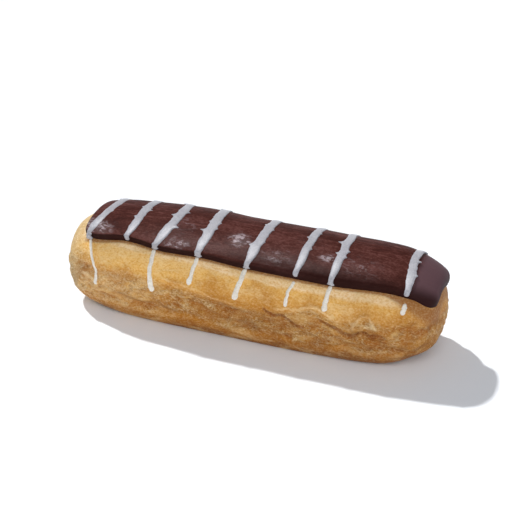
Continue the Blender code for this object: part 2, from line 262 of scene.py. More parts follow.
# The runs of drizzle on the bun's sides: mm along X and degrees round the section (below 0 on the back) at the
# start, the middle and the end, and half width in mm
RUNS = {
    "run_1": ((-53.9, 44.5), (-51.0, 70.0), (-49.4, 95.0), 0.6),
    "run_3": ((-28.7, 44.5), (-28.5, 68.0), (-27.6, 90.5), 0.9),
    "run_4": ((-13.3, 44.0), (-13.6, 60.0), (-14.3, 76.0), 0.78),
    "run_5": ((3.9, 46.5), (2.9, 64.0), (1.7, 83.0), 0.95),
    "run_6": ((20.6, 50.5), (19.3, 65.0), (19.2, 79.0), 0.62),
    "run_7": ((32.5, 47.5), (32.0, 61.0), (31.5, 76.0), 0.88),
    "run_8": ((55.8, 51.0), (55.9, 58.0), (55.6, 65.5), 0.88),
    "run_9": ((-50.0, -46.0), (-50.5, -64.0), (-51.4, -80.0), 0.65),
    "run_10": ((-13.9, -46.0), (-13.5, -66.0), (-13.0, -86.0), 0.7),
    "run_11": ((21.0, -50.0), (20.8, -61.0), (20.6, -72.0), 0.65),
    "run_12": ((31.2, -46.0), (31.6, -64.0), (32.0, -82.0), 0.7),
}
RUN_HEIGHT = 0.6 * MM
RUN_SINK = 0.3 * MM
RUN_SAMPLES = 120
RUN_RINGS = 80
RUN_SIDES = 14
RUN_SQUARENESS = 2.2
RUN_SMOOTHING = 3
RUN_WAVE = 0.25
RUN_WAVES = 5.0
RUN_WOBBLES = ((0.3, 7.0), (0.15, 22.0))
RUN_SLIM = 0.85
RUN_SWELL = 0.3
RUN_DROP = (0.6, 0.95)

# The camera
LENS = 80.0
AZIMUTH = math.radians(22.0)
ELEVATION = math.radians(28.0)
DISTANCE = 0.3796
LOOKED_AT = Vector((0.0, 0.0, 0.017))
SHIFT = (0.0086, 0.0305)
NEAREST_SEEN = 0.01

# The studio's lights: name, kind, strength, direction, distance, size (a sun's angle) and what each is kept
# out of. Then the surround's brightness by height, and the floor
LIGHTS = (
    ("key", "SUN", 3.2, (-0.81, 0.52, 1.0), 1.0, math.radians(2.5), "visible_glossy"),
    ("overhead_sheen", "AREA", 10.0, (-0.33, 0.02, 0.94), 1.0, 0.30, "visible_diffuse"),
    ("front_fill", "AREA", 9.8, (0.5, -1.0, 0.95), 1.4, 1.1, "visible_glossy"),
)
WORLD_STOPS = (
    (0.0, (0.98, 1.01, 1.06, 1.0)),
    (0.12, (0.62, 0.645, 0.70, 1.0)),
    (0.35, (0.20, 0.21, 0.235, 1.0)),
)
FLOOR_COLOUR = (0.91, 0.93, 0.955, 1.0)
FLOOR_REACH = 4.0

# Colours from 0 to 255, as a screen shows them. A row of them gives each one's place from 0 to 1
# The crust's colour by height: browner at the foot, partly its own bake and partly painted shade of the less
# lit low side
CRUST_BY_HEIGHT = (
    (0.00, (146, 94, 36)), (0.05, (168, 111, 40)), (0.20, (184, 127, 46)), (0.40, (186, 132, 55)),
    (0.54, (210, 160, 84)), (0.67, (234, 190, 112)), (0.80, (242, 206, 140)), (0.95, (246, 214, 156)),
)
# The pale band's colours: the shoulder's paler dough with painted light from above
CRUST_PALE_LIT = ((0.42, (230, 201, 154)), (0.58, (244, 217, 176)))
CRUST_TORN = ((0.36, (150, 96, 38)), (0.44, (168, 113, 46)), (0.52, (180, 130, 62)), (0.60, (204, 162, 98)))
# Painted shade in the torn skin's hollows, darker the deeper they lie
CRUST_HOLLOW_SHADE = ((0.14, (224, 194, 150)), (0.40, (246, 234, 216)), (0.56, (255, 255, 255)))
CRUST_DAPPLE = ((0.38, (248, 240, 224)), (0.50, (255, 255, 255)))
CRUST_SPECKLE = ((0.36, (243, 223, 190)), (0.50, (255, 253, 248)))
LIGHT_BLOTCH = (226, 196, 146)
# Painted shade in the torn band's thin cracks
THIN_CRACK_SHADE = (160, 96, 38)
TORN_BROWN = (140, 96, 46)
TORN_PALE = (216, 176, 122)
WISP = (236, 212, 170)
# Painted light on the torn skin's raised folds
LIT_RAISED_FOLD = (238, 212, 168)
# Painted light on the front's ridges and painted shade in its deep creases
LIT_RIDGE = (240, 216, 174)
DEEP_CRACK_SHADE = (136, 80, 30)
BROWN_END = (150, 104, 58)
LIGHT_DAPPLE = (246, 220, 172)
LEFT_WASH = (180, 154, 108)
LEFT_FLAKE = (240, 222, 188)
# Painted shade under the icing's rim, wider beneath its right end
UNDER_RIM_SHADE = (150, 101, 57)
ICING_BROWNS = ((0.38, (56, 25, 20)), (0.50, (72, 36, 30)), (0.62, (95, 57, 52)))
# Painted sheen round the icing's gleams and painted glints in them
ICING_PAINTED_SHEEN = (112, 84, 83)
ICING_PAINTED_GLINT = (170, 152, 156)
# Painted reflection of the bright surround on the icing's smooth right end
ICING_END_REFLECTION = (96, 72, 77)
# Painted shade on the icing's rim and low front
ICING_RIM_SHADE = (36, 14, 11)
# The same white drizzle twice: grey from painted shade on the icing's top, cream from painted light bounced
# off the crust
DRIZZLE_SHADED_GREY = ((0.38, (152, 151, 157)), (0.60, (175, 174, 179)))
DRIZZLE_BOUNCE_LIT_CREAM = ((0.38, (212, 204, 190)), (0.60, (236, 230, 218)))

# Places along the bun, 0 at its left end and 1 at its right, and how much of each change of colour lies there
BROWN_TEAR_PLACES = ((0.33, 0.0), (0.45, 0.44), (0.62, 0.40), (0.80, 0.12))
PALE_TEAR_PLACES = ((0.15, 0.35), (0.33, 0.0))
BROWN_END_PLACES = ((0.68, 0.0), (0.85, 0.08))
LEFT_WASH_PLACES = ((0.02, 0.85), (0.08, 0.1), (0.25, 0.0))
LEFT_FLAKE_PLACES = ((0.05, 0.5), (0.12, 0.2), (0.34, 0.0))
LOWERED_PLACES = ((0.33, 0.30), (0.45, 0.36), (0.64, 0.40))

# The crust's height that counts as 1 in its colours, and the reach of its small pits
COLOURED_HEIGHT = 32.0 * MM
CRUST_PITS = 0.09 * MM
ICING_DENTS = 0.3 * MM
DRIZZLE_PITS = 0.06 * MM

# The inputs of the mottling: each one's name and usual value
MOTTLE_INPUTS = (("Patch Size", 6.0 * MM), ("Grain Size", 0.8 * MM), ("Stretch", 1.0), ("Twist", 0.0))

TINY = 1e-9


def eased(value, low, high):
    """0 below low and 1 above high, with a smooth change between them."""
    share = min(max((value - low) / (high - low), 0.0), 1.0)
    return share * share * (3 - 2 * share)


def eased_along(value, points):
    """The smooth way from point to point, each of them a place and a value, read at this place."""
    for (start, low), (end, high) in zip(points, points[1:]):
        if value <= end:
            return low + (high - low) * eased(value, start, end)
    return points[-1][1]


# The bun's plain form


def squared(value, squareness):
    """A sine or cosine, bent from a circle's towards a squarer superellipse's."""
    return math.copysign(abs(value) ** (2 / squareness), value)


def profile():
    """Even steps along the bun's profile: the step, the distance along X and how open the section is."""
    turn = np.linspace(0, np.pi, PROFILE_SAMPLES)
    along = -HALF_LENGTH * np.sign(np.cos(turn)) * np.abs(np.cos(turn)) ** (2 / PLAN_SQUARENESS)
    opening = np.abs(np.sin(turn)) ** (2 / PLAN_SQUARENESS)
    walked = np.concatenate([[0], np.cumsum(np.hypot(np.diff(along), np.diff(opening * HALF_WIDTH)))])
    return walked / walked[-1] * 2 - 1, along, opening


PROFILE = profile()


def section_form(height):
    """The section's squareness and half height on this side of the waist."""
    if height >= 0:
        return DOME_SQUARENESS, DOME_HEIGHT
    return BASE_SQUARENESS, BASE_DEPTH


def plain_point(step, turn):
    """A point of the plain bun. step runs from -1 to 1 along it, turn is 0 on top and 90 degrees in front."""
    along = float(np.interp(step, PROFILE[0], PROFILE[1]))
    opening = float(np.interp(step, PROFILE[0], PROFILE[2]))
    squareness, height = section_form(math.cos(turn))
    across = -HALF_WIDTH * opening * squared(math.sin(turn), squareness)
    up = WAIST_HEIGHT + height * opening * squared(math.cos(turn), squareness)
    return Vector((along, across, up))


def pushed_out(direction):
    """The point of the plain bun in this direction from its middle, the direction being in half sizes."""
    squareness, height = section_form(direction.z)
    section = abs(direction.y) ** squareness + abs(direction.z) ** squareness
    power = section ** (PLAN_SQUARENESS / squareness) + abs(direction.x) ** PLAN_SQUARENESS
    reach = direction / power ** (1 / PLAN_SQUARENESS)
    return Vector((reach.x * HALF_LENGTH, reach.y * HALF_WIDTH, WAIST_HEIGHT + reach.z * height))


def outward(point):
    """The plain bun's outward direction at a point of it, from the superellipse's own slope."""
    squareness, height = section_form(point.z - WAIST_HEIGHT)
    along, across, up = point.x / HALF_LENGTH, point.y / HALF_WIDTH, (point.z - WAIST_HEIGHT) / height
    opened = max(1 - abs(along) ** PLAN_SQUARENESS, TINY)
    slope = Vector((
        math.copysign(abs(along) ** (PLAN_SQUARENESS - 1), along)
        * opened ** (squareness / PLAN_SQUARENESS - 1) / HALF_LENGTH,
        math.copysign(abs(across) ** (squareness - 1), across) / HALF_WIDTH,
        math.copysign(abs(up) ** (squareness - 1), up) / height,
    ))
    return slope.normalized()


def step_at(along):
    """The profile step at this distance along X."""
    return float(np.interp(along, PROFILE[1], PROFILE[0]))


# The baked skin's relief


def torn(point):
    """1 in the torn band round the bun, 0 on its dome and base. The band's edges wander."""
    wander = noise.noise(point / TEAR_WANDER_SIZE) * TEAR_WANDER
    low = TEAR_LOW + wander
    front = eased(-point.y, 0.0, HALF_WIDTH / 2)
    high = np.interp(point.x / MM, *zip(*TEAR_TOP)) * MM * front + (TEAR_HIGH + wander) * (1 - front)
    return eased(point.z, low - TEAR_FADE, low) * (1 - eased(point.z, high - TEAR_FADE, high))


def relief(point, tear):
    """How far the baked skin stands out from the plain bun: lumps, swellings and the torn band's crags."""
    lumps = LUMP_HEIGHT * noise.noise(point / LUMP_SIZE)
    for _, middle, reach, height in SWELLINGS:
        away = (point / MM - Vector(middle)).length / reach
        lumps += height * MM * math.exp(-away * away)
    if tear == 0:
        return lumps
    crag = math.hypot(noise.noise(point * Vector(CRAG_STRETCH) / CRAG_SIZE), CRAG_ROUNDING)
    rough = CALM_SHARE + (1 - CALM_SHARE) * eased(point.x, *CALM_END)
    return lumps + tear * (CRAG_HEIGHT * (CRAG_LEVEL - RIDGE_SLOPE * crag) - TEAR_RECESS) * rough


def distance_to_way(along, up, way):
    """The distance from a place on the front to a way of straight pieces, all in mm."""
    nearest = math.inf
    for (x0, z0), (x1, z1) in zip(way, way[1:]):
        length = (x1 - x0) ** 2 + (z1 - z0) ** 2
        share = min(max(((along - x0) * (x1 - x0) + (up - z0) * (z1 - z0)) / length, 0.0), 1.0)
        nearest = min(nearest, math.hypot(along - x0 - share * (x1 - x0), up - z0 - share * (z1 - z0)))
    return nearest


def creased(point):
    """The height of the single creases and ridges of the front at this point."""
    if point.y > FRONT_FROM:
        return 0.0
    shake = noise.noise_vector(point / CREASE_SHAKE_SIZE) * CREASE_SHAKE
    along, up = point.x / MM, point.z / MM
    total = 0.0
    for _, half_width, height, way in CREASES:
        if way[0][0] - CREASE_REACH < along < way[-1][0] + CREASE_REACH:
            away = distance_to_way(along + shake.x, up + shake.z, way) / half_width
            total += height * math.exp(-away * away)
    return total * MM


def folds(point):
    """The fine folds of the torn skin, as soft ridges of two sizes that wander along the bun."""
    warped = (point + FOLD_WARP * noise.noise_vector(point / FOLD_WARP_SIZE)) * FOLD_STRETCH
    return sum(height * (FOLD_LEVEL - RIDGE_SLOPE * abs(noise.noise(warped / size))) for size, height in FOLDS)


def grain(point):
    """The slight unevenness that all of the skin has."""
    return sum(height * noise.noise(point / size) for size, height in GRAIN)


def skin_point(step, turn, lift=0.0):
    """A point at this height above the bun's skin, without its fine folds."""
    point = plain_point(step, turn)
    return point + outward(point) * (relief(point, torn(point)) + lift)


# The icing's form


def icing_edge(step, side):
    """How far round the section the icing reaches here, on the front (side 1) or the back (side -1)."""
    if side > 0:
        return math.radians(eased_along(step, ICING_FRONT_EDGE))
    wave = noise.noise(Vector((step * ICING_BACK_WAVES, -3.0, 0.5)))
    return math.radians(ICING_BACK_EDGE + ICING_BACK_WAVE * wave)


def rim_form(step, end):
    """The share of its thickness that the icing keeps at its rim, and how wide its shoulder is.

    end is 0 on the long sides and 1 on the two ends.
    """
    change = eased(step, *RIM_CHANGE)
    sides = (low + (high - low) * change for low, high in (RIM_SHARES, RIM_RADII))
    ends = (low + (high - low) * change for low, high in (END_SHARES, END_RADII))
    return tuple(side + (last - side) * end for side, last in zip(sides, ends))


def rim_place(step, turn):
    """How far inside the shoulder a place is, from 0 at the rim to 1, and the thickness's share kept there."""
    half_reach = (ICING_RIGHT - ICING_LEFT) / 2
    edge = icing_edge(step, math.copysign(1, turn))
    along = min(abs(step - (ICING_RIGHT + ICING_LEFT) / 2) / half_reach, 1.0)
    across = min(abs(turn) / edge, 1.0)
    size = (along ** ICING_SQUARENESS + across ** ICING_SQUARENESS) ** (1 / ICING_SQUARENESS)
    if size < FAR_INSIDE:
        return 1.0, 1.0
    along_fall = along ** (ICING_SQUARENESS - 1) / (half_reach * HALF_LENGTH)
    across_fall = across ** (ICING_SQUARENESS - 1) / (edge * HALF_WIDTH)
    fall = math.hypot(along_fall, across_fall)
    kept, radius = rim_form(step, (along_fall / fall) ** 2)
    inside = min(max((1 - size) / (fall * size ** (1 - ICING_SQUARENESS)) / radius, 0.0), 1.0)
    return inside, kept


def icing_point(step, turn, wall=1.0):
    """A point of the icing's outside. wall runs from 0 at the foot of its rim to 1 on its top."""
    inside, kept = rim_place(step, turn)
    lift = ICING_THICKNESS * (kept + (1 - kept) * math.sqrt(1 - (1 - inside) ** 2)) * wall
    plain = plain_point(step, turn)
    way = outward(plain)
    lean = ICING_WALL_UPRIGHT * (1 - inside)
    pulled = (way * (1 - lean) + Vector((0, 0, 1)) * lean).normalized()
    foot = plain + way * (relief(plain, torn(plain)) + ICING_GAP)
    wave = ICING_WAVE * noise.noise(plain / ICING_WAVE_SIZE) * wall * inside
    return foot + pulled * lift + way * wave


def icing_place(u, v):
    """The place on the bun of a point of the square from -1 to 1, with the square's corners rounded off."""
    disc_u = u * math.sqrt(1 - v * v / 2)
    disc_v = v * math.sqrt(1 - u * u / 2)
    radius = math.hypot(disc_u, disc_v)
    if radius > 0:
        power = abs(disc_u) ** ICING_SQUARENESS + abs(disc_v) ** ICING_SQUARENESS
        longest = power ** (1 / ICING_SQUARENESS)
        disc_u *= radius / longest
        disc_v *= radius / longest
    step = (ICING_RIGHT + ICING_LEFT) / 2 + disc_u * (ICING_RIGHT - ICING_LEFT) / 2
    return step, disc_v * icing_edge(step, disc_v)


# Making pieces


def finished(name, bm, finish):
    """The bmesh as a smooth-shaded piece that rides on the eclair's one body."""
    bmesh.ops.recalc_face_normals(bm, faces=bm.faces)
    if bm.calc_volume(signed=True) < 0:
        bmesh.ops.reverse_faces(bm, faces=bm.faces)
    mesh = bpy.data.meshes.new(name)
    bm.to_mesh(mesh)
    bm.free()
    mesh.shade_smooth()
    mesh.materials.append(finish)
    made = bpy.data.objects.new(name, mesh)
    bpy.context.scene.collection.objects.link(made)
    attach(made, "root")
    return made


def below_icing(plain):
    """How far outside the icing a point of the plain bun is, its turn in degrees, step and opening."""
    step = step_at(plain.x)
    opening = max(float(np.interp(step, PROFILE[0], PROFILE[2])), TINY)
    turn = math.atan2(abs(plain.y) / HALF_WIDTH, (plain.z - WAIST_HEIGHT) / DOME_HEIGHT)
    beside = (turn - icing_edge(step, -plain.y)) * SECTION_RADIUS * opening
    beyond = max(step - ICING_RIGHT, ICING_LEFT - step) * STEP_LENGTH
    return max(beside, beyond), math.degrees(turn), step, opening


def pale_lit_band_and_shade(plain):
    """How much painted light of the pale band and painted shade under the icing's rim lie on a point of the
    bun.
    """
    if plain.z < WAIST_HEIGHT:
        return 0.0, 0.0
    below, turn, step, opening = below_icing(plain)
    narrow, wide = SHADE_WIDTH
    grown = SHADE_SPREAD * eased(step, *SHADE_GROWS)
    shade = 1 - eased(below, narrow + grown * SHADE_CORE, wide + grown)
    shade *= eased(below, -SHADE_UNDER_ICING, 0.0) * eased(step, *SHADE_BEGINS)
    wander = sum(turns * noise.noise(plain / size) for size, turns in PALE_WANDERS)
    edge = eased_along(step, PALE_EDGE) + wander
    above, beneath = PALE_SOFTNESS
    soft = PALE_END_SOFTNESS * (1 - opening)
    # The pale band: painted light from above on the shoulder's paler dough
    pale = (1 - eased(turn, edge - above - soft, edge + beneath + soft)) * (1 - eased(step, *PALE_END))
    return pale, shade


def make_bun(finish):
    """The bun: a cube of many cells pushed out to the plain form, given its relief and cut flat below."""
    bm = bmesh.new()
    bmesh.ops.create_cube(bm, size=2)
    for axis, cells in enumerate(BUN_CELLS):
        edges = [edge for edge in bm.edges if abs(edge.verts[0].co[axis] - edge.verts[1].co[axis]) > TINY]
        bmesh.ops.subdivide_edges(bm, edges=edges, cuts=cells - 1, use_grid_fill=True)
    # The pale and shade layers hold painted light on the band below the icing and painted shade under its rim
    layers = [bm.verts.layers.float.new(name) for name in ("torn", "shaded_fold", "line", "pale", "shade")]
    for vertex in bm.verts:
        plain = pushed_out(vertex.co)
        tear = torn(plain)
        line = creased(plain)
        fine = folds(plain) * tear if tear > 0 else 0.0
        coarse = relief(plain, tear)
        # Fold heights that drive painted shade in hollows and painted light on raised folds
        fold_shade_level = fine + CRAG_SHADING * tear * (coarse + TEAR_RECESS)
        for layer, value in zip(layers, (tear, fold_shade_level / MM, line / MM, *pale_lit_band_and_shade(plain))):
            vertex[layer] = value
        vertex.co = plain + outward(plain) * (coarse + line + fine + grain(plain))
    everything = bm.verts[:] + bm.edges[:] + bm.faces[:]
    bmesh.ops.bisect_plane(bm, geom=everything, plane_co=(0, 0, 0), plane_no=(0, 0, -1), clear_outer=True)
    bmesh.ops.holes_fill(bm, edges=[edge for edge in bm.edges if edge.is_boundary])
    made = finished("crust", bm, finish)
    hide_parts("choux_bun")
    return made


def gleam_at(along, turn):
    """How much the icing's skin gleams at this place, from its named patches."""
    total = 0.0
    for middle, middle_turn, reach, strength in GLEAMS:
        across = (turn - math.radians(middle_turn)) * SECTION_RADIUS / MM
        away = math.hypot((along / MM - middle) / GLEAM_LENGTHENED, across * GLEAM_NARROWED) / reach
        total += strength * math.exp(-away * away)
    return total


def make_icing(finish):
    """The icing: a sheet laid on the bun and pulled up to its thickness, with a shoulder and grooved rim."""
    bm = bmesh.new()
    bmesh.ops.create_grid(bm, x_segments=ICING_COLUMNS, y_segments=ICING_ROWS, size=1)
    names = ("across_u", "across_v", "wall", "gleam", "smooth_reflecting_end", "rim")
    across_u, across_v, wall, gleam, smooth, rim = [bm.verts.layers.float.new(name) for name in names]
    for vertex in bm.verts:
        vertex[across_u] = vertex.co.x
        vertex[across_v] = vertex.co.y
    lower = set(bm.verts)
    bmesh.ops.extrude_face_region(bm, geom=bm.faces[:], use_keep_orig=True)
    for vertex in bm.verts:
        vertex[wall] = 0.0 if vertex in lower else 1.0
    walls = [edge for edge in bm.edges if (edge.verts[0] in lower) != (edge.verts[1] in lower)]
    bmesh.ops.subdivide_edges(bm, edges=walls, cuts=ICING_WALL_CUTS)
    for vertex in bm.verts:
        u, v, up = vertex[across_u], vertex[across_v], vertex[wall]
        step, turn = icing_place(u, v)
        if up == 0:
            vertex.co = skin_point(step, turn, ICING_GAP)
        else:
            vertex.co = icing_point(step, turn, up)
        if 0 < up < 1:
            outer = icing_point(*icing_place(u * JUST_OUTSIDE, v * JUST_OUTSIDE), up)
            away = (outer - vertex.co).normalized()
            from_groove = (up - ICING_WALL_GROOVE_MIDDLE) / ICING_WALL_GROOVE_WIDTH
            groove = math.exp(-from_groove ** 2) * (1 - eased(step, *RIM_CHANGE))
            vertex.co += away * (ICING_WALL_BULGE * math.sin(math.pi * up) - ICING_WALL_GROOVE * groove)
        vertex[gleam] = gleam_at(vertex.co.x, turn)
        # The smooth right end, calmer in its streaks, with a painted reflection in its colour
        vertex[smooth] = eased(vertex.co.x, *SMOOTH_END)
        # Painted shade on the rim and, on the right, on the low front
        low = eased(step, *RIM_CHANGE) * eased(math.degrees(turn), *LOW_TURN)
        vertex[rim] = max(1 - RIM_SHADING * rim_place(step, turn)[0], low)
    made = finished("icing_coat", bm, finish)
    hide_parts("chocolate_icing")
    return made


def smoothed(points, times):
    """The points of a line with their corners worn down, the ends kept."""
    for _ in range(times):
        inner = [(a + b * 2 + c) / 4 for a, b, c in zip(points, points[1:], points[2:])]
        points = [points[0], *inner, points[-1]]
    return points


def sweep(bm, points, ups, widths, half_height, rings, sides, squareness):
    """Adds a rounded strand to bm along the points, with a superellipse for its section.

    ups are the directions of its height, and widths(share) gives its half widths to the left and the right,
    without the rounding of the ends.
    """
    walked = np.concatenate([[0], np.cumsum([(b - a).length for a, b in zip(points, points[1:])])])
    shares = walked / walked[-1]
    path = np.array(points)
    upward = np.array(ups)
    known = {}
    for vertex in bmesh.ops.create_uvsphere(bm, u_segments=sides, v_segments=rings, radius=1)["verts"]:
        ring = round(math.acos(max(-1.0, min(1.0, vertex.co.z))) / math.pi * rings)
        turn = math.atan2(vertex.co.y, vertex.co.x)
        if ring not in known:
            step = 2 * ring / rings - 1
            crowded = RING_CROWDING * math.sin(step * math.pi / 2)
            share = (1 + (1 - RING_CROWDING) * step + crowded) / 2
            middle, before, after = (
                Vector([float(np.interp(place, shares, path[:, axis])) for axis in range(3)])
                for place in (share, share - LOOK_AHEAD, share + LOOK_AHEAD)
            )
            up = Vector([float(np.interp(share, shares, upward[:, axis])) for axis in range(3)])
            up.normalize()
            across = (after - before).cross(up).normalized()
            left, right = widths(share)
            from_end = min(share, 1 - share) * walked[-1] / (END_STRETCH * min(left, right))
            rounding = math.sqrt(max(1 - (1 - min(from_end, 1.0)) ** 2, 0.0))
            known[ring] = middle, up, across, left * rounding, right * rounding, half_height * rounding
        middle, up, across, left, right, high = known[ring]
        sideways = squared(math.cos(turn), squareness)
        width = right if sideways * across.x > 0 else left
        vertex.co = middle + across * width * sideways + up * high * squared(math.sin(turn), squareness)


def strand_line(xs, front_wall):
    """A strand's line over the icing, from low on its back wall over the crown to low on its front wall."""
    back_x, crown_x, front_x = xs
    points = []
    for sample in range(STRAND_SAMPLES + 1):
        reach = (2 * sample / STRAND_SAMPLES - 1) * (1 + STRAND_WALL_SHARE)
        inner = min(max(reach, -1.0), 1.0)
        bend = crown_x + (front_x - back_x) / 2 * inner + ((front_x + back_x) / 2 - crown_x) * inner * inner
        wave = STRAND_WAVE * noise.noise(Vector((crown_x, inner * STRAND_WAVES, 2.5)))
        step = step_at(bend * MM + wave)
        down = (abs(reach) - 1) / STRAND_WALL_SHARE
        deepest = front_wall if reach > 0 else STRAND_BACK_WALL
        wall = 1 - max(down, 0.0) * deepest
        points.append(icing_point(step, inner * icing_edge(step, reach), wall))
    points = smoothed(points, STRAND_SMOOTHING)
    ups = []
    for index in range(len(points)):
        ahead = points[min(index + 2, len(points) - 1)] - points[max(index - 2, 0)]
        ups.append(Vector((1, 0, 0)).cross(ahead).normalized() * -1)
    if ups[len(ups) // 2].z < 0:
        ups = [-up for up in ups]
    middles = [point + up * (STRAND_HEIGHT / 2 - STRAND_SINK) for point, up in zip(points, ups)]
    return middles, ups


def strand_width(name, half_width, footed, length, share):
    """A strand's half widths to its left and right at this share: its wobble, barbs, neck and foot."""
    from_front = (1 - share) * length
    if footed:
        spread = 1 - eased(from_front, *FOOT_FALL)
        taper = NECK + (1 - NECK) * eased(from_front, *NECK_FALL) + (FOOT - NECK) * spread
    else:
        taper = TIP + (1 - TIP) * eased(from_front, *TIP_FALL)
    widths = []
    for side in (-1, 1):
        wobble = 1.0
        for size, waves, shift in STRAND_WOBBLES:
            wobble += size * noise.noise(Vector((share * waves, side * 4.0, half_width * shift)))
        barbs = sum(
            reach * math.exp(-abs(share - place) / BARB_SIZE)
            for place, barb_side, reach in BARBS[name] if barb_side == side
        )
        widths.append((half_width * wobble * taper + barbs) * MM)
    return widths


def make_strands(finish):
    """The strands of drizzle over the icing, as one piece."""
    bm = bmesh.new()
    for name, (*xs, half_width, front_wall) in STRANDS.items():
        points, ups = strand_line(xs, front_wall)
        length = sum((b - a).length for a, b in zip(points, points[1:]))
        widths = functools.partial(strand_width, name, half_width, front_wall == 1.0, length)
        sweep(bm, points, ups, widths, STRAND_HEIGHT / 2, STRAND_RINGS, STRAND_SIDES, STRAND_SQUARENESS)
    return finished("drizzle_on_icing", bm, finish)


def run_line(start, middle, end):
    """A run's line down the bun's side through its three places."""
    points, ups = [], []
    for sample in range(RUN_SAMPLES + 1):
        share = sample / RUN_SAMPLES
        parts = []
        for first, second, third in zip(start, middle, end):
            bend = 2 * (first + third - 2 * second)
            parts.append(first + (third - first) * share - bend * share * (1 - share))
        along, turn = parts
        along += RUN_WAVE * noise.noise(Vector((start[0], share * RUN_WAVES, 0.5)))
        plain = plain_point(step_at(along * MM), math.radians(turn))
        tear = torn(plain)
        way = outward(plain)
        skin = relief(plain, tear) + folds(plain) * tear + creased(plain)
        points.append(plain + way * (skin + RUN_HEIGHT / 2 - RUN_SINK))
        ups.append(way)
    return smoothed(points, RUN_SMOOTHING), ups


def run_width(seed, half_width, share):
    """A run's half widths to its left and right at this share: its wobble and the drop at its end."""
    widths = []
    for side in (-1, 1):
        wobble = 1.0
        for size, waves in RUN_WOBBLES:
            wobble += size * noise.noise(Vector((seed, share * waves, side * 3)))
        widths.append(half_width * wobble * (RUN_SLIM + RUN_SWELL * eased(share, *RUN_DROP)) * MM)
    return widths


def make_runs(finish):
    """The thin runs of drizzle on the bun's sides, as one piece."""
    bm = bmesh.new()
    for start, middle, end, half_width in RUNS.values():
        points, ups = run_line(start, middle, end)
        widths = functools.partial(run_width, start[0], half_width)
        sweep(bm, points, ups, widths, RUN_HEIGHT / 2, RUN_RINGS, RUN_SIDES, RUN_SQUARENESS)
    return finished("drizzle_on_crust", bm, finish)


# Materials


def new_material(name, roughness, specular):
    """A material with a Principled shader, and its node tree and shader."""
    made = bpy.data.materials.new(name)
    made.use_nodes = True
    shader = made.node_tree.nodes["Principled BSDF"]
    shader.inputs["Roughness"].default_value = roughness
    shader.inputs["Metallic"].default_value = 0.0
    shader.inputs["Specular IOR Level"].default_value = specular
    return made, made.node_tree, shader


def linear(red, green, blue):
    """A colour given from 0 to 255 as a screen shows it, as the linear colour that a shader takes."""
    parts = []
    for part in (red / 255, green / 255, blue / 255):
        parts.append(part / 12.92 if part <= 0.04045 else ((part + 0.055) / 1.055) ** 2.4)
    return (*parts, 1.0)


def fill_in(tree, sockets, values):
    """Gives each socket its value: an output is linked to it and a constant is set on it."""
    for socket, value in zip(sockets, values):
        if isinstance(value, bpy.types.NodeSocket):
            tree.links.new(value, socket)
        else:
            socket.default_value = value


def ramp(tree, source, stops):
    """Maps a value to a colour, or a grey value, between stops of a place and its colour."""
    made = tree.nodes.new("ShaderNodeValToRGB")
    elements = made.color_ramp.elements
    while len(elements) < len(stops):
        elements.new(1.0)
    for element, (place, colour) in zip(elements, stops):
        element.position = place
        element.color = colour if isinstance(colour, tuple) else (colour, colour, colour, 1.0)
    tree.links.new(source, made.inputs["Fac"])
    return made.outputs["Color"]


def colour_ramp(tree, source, stops):
    """Maps a value to a colour between stops of a place and a colour as a screen shows it."""
    return ramp(tree, source, [(place, linear(*colour)) for place, colour in stops])


def mixed(tree, share, first, second, blend="MIX"):
    """Mixes two colours. Each of share, first and second is an output or a constant."""
    made = tree.nodes.new("ShaderNodeMix")
    made.data_type = "RGBA"
    made.blend_type = blend
    fill_in(tree, (made.inputs[0], made.inputs[6], made.inputs[7]), (share, first, second))
    return made.outputs[2]


def tinted(tree, share, colour, tint):
    """The colour with this share of a tint, given as a screen shows it."""
    return mixed(tree, share, colour, linear(*tint))


def maths(tree, operation, first, second=0.0, third=0.0):
    """One step of arithmetic on outputs or constants."""
    made = tree.nodes.new("ShaderNodeMath")
    made.operation = operation
    fill_in(tree, made.inputs, (first, second, third))
    return made.outputs[0]


def attribute(tree, name):
    """A value that the piece carries on its points."""
    made = tree.nodes.new("ShaderNodeAttribute")
    made.attribute_name = name
    return made.outputs["Fac"]


def object_place(tree):
    """The piece's own places, as outputs for X, Y and Z."""
    places = tree.nodes.new("ShaderNodeTexCoord")
    parts = tree.nodes.new("ShaderNodeSeparateXYZ")
    tree.links.new(places.outputs["Object"], parts.inputs[0])
    return parts.outputs


def mottle_group():
    """A group that puts out a patchy mottling and a fine grain, each about 0.5, from the piece's places."""
    group = bpy.data.node_groups.new("fine_mottle", "ShaderNodeTree")
    for name, value in MOTTLE_INPUTS:
        socket = group.interface.new_socket(name, in_out="INPUT", socket_type="NodeSocketFloat")
        socket.default_value = value
    group.interface.new_socket("Patches", in_out="OUTPUT", socket_type="NodeSocketFloat")
    group.interface.new_socket("Grain", in_out="OUTPUT", socket_type="NodeSocketFloat")
    given = group.nodes.new("NodeGroupInput")
    put_out = group.nodes.new("NodeGroupOutput")
    parts = object_place(group)
    joined = group.nodes.new("ShaderNodeCombineXYZ")
    stretched = maths(group, "DIVIDE", parts["X"], given.outputs["Stretch"])
    fill_in(group, joined.inputs, (stretched, parts["Y"], parts["Z"]))
    for size, output, detail in (("Patch Size", "Patches", 4.0), ("Grain Size", "Grain", 3.0)):
        made = group.nodes.new("ShaderNodeTexNoise")
        made.inputs["Detail"].default_value = detail
        made.inputs["Roughness"].default_value = 0.6
        group.links.new(joined.outputs[0], made.inputs["Vector"])
        group.links.new(maths(group, "DIVIDE", 1.0, given.outputs[size]), made.inputs["Scale"])
        group.links.new(given.outputs["Twist"], made.inputs["Distortion"])
        group.links.new(made.outputs["Fac"], put_out.inputs[output])
    return group


